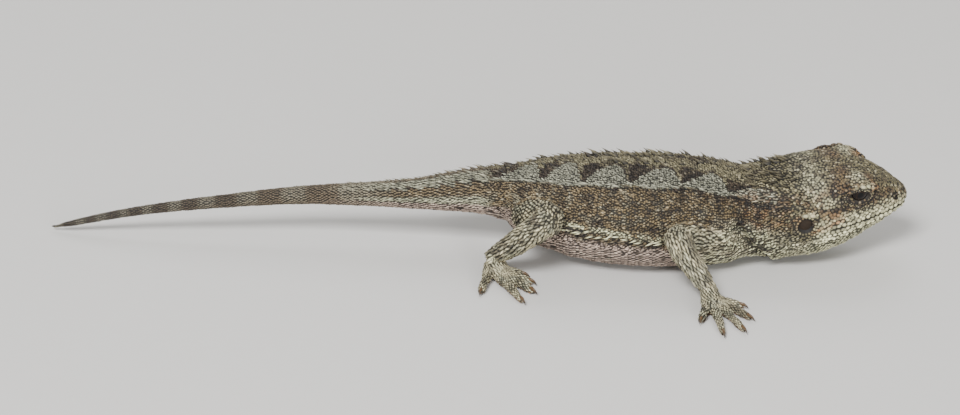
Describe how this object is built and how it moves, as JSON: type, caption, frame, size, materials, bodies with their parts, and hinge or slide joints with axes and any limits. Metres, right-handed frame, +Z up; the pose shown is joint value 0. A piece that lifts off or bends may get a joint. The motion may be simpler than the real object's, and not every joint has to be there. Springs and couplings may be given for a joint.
{
  "type": "mountain dragon lizard",
  "caption": "Life-size still model of a small, stout, spiny-backed lizard lying on its belly and four feet, head raised and turned, long tail held out to the floor.",
  "frame": {"origin": "the flat of the belly on the floor, under the middle of the trunk", "axes": "+X towards the head, +Y towards the animal's left side, +Z up"},
  "size_m": [0.1732, 0.0721, 0.0214],
  "materials": {
    "back_skin": "dry scaly skin, olive brown with a row of pale grey blotches edged in dark brown",
    "head_skin": "dry granular scales, greenish grey with pale lips and rusty cheeks",
    "tail_skin": "dry keeled scales, pale grey banded with brown",
    "limb_skin": "dry keeled scales, pale grey mottled with brown",
    "eye": "wet dark eye with a thin coppery ring",
    "claw": "brown horn"
  },
  "bodies": {
    "root": {"head": "head_skin", "lower_jaw": "head_skin", "right_eye": "eye", "left_eye": "eye", "neck": "back_skin", "torso": "back_skin", "tail_1": "tail_skin", "tail_2": "tail_skin", "tail_3": "tail_skin", "tail_4": "tail_skin", "right_upper_arm": "limb_skin", "right_forearm": "limb_skin", "right_hand": "limb_skin", "left_upper_arm": "limb_skin", "left_forearm": "limb_skin", "left_hand": "limb_skin", "right_thigh": "limb_skin", "right_shin": "limb_skin", "right_foot": "limb_skin", "left_thigh": "limb_skin", "left_shin": "limb_skin", "left_foot": "limb_skin"}
  },
  "joints": []
}
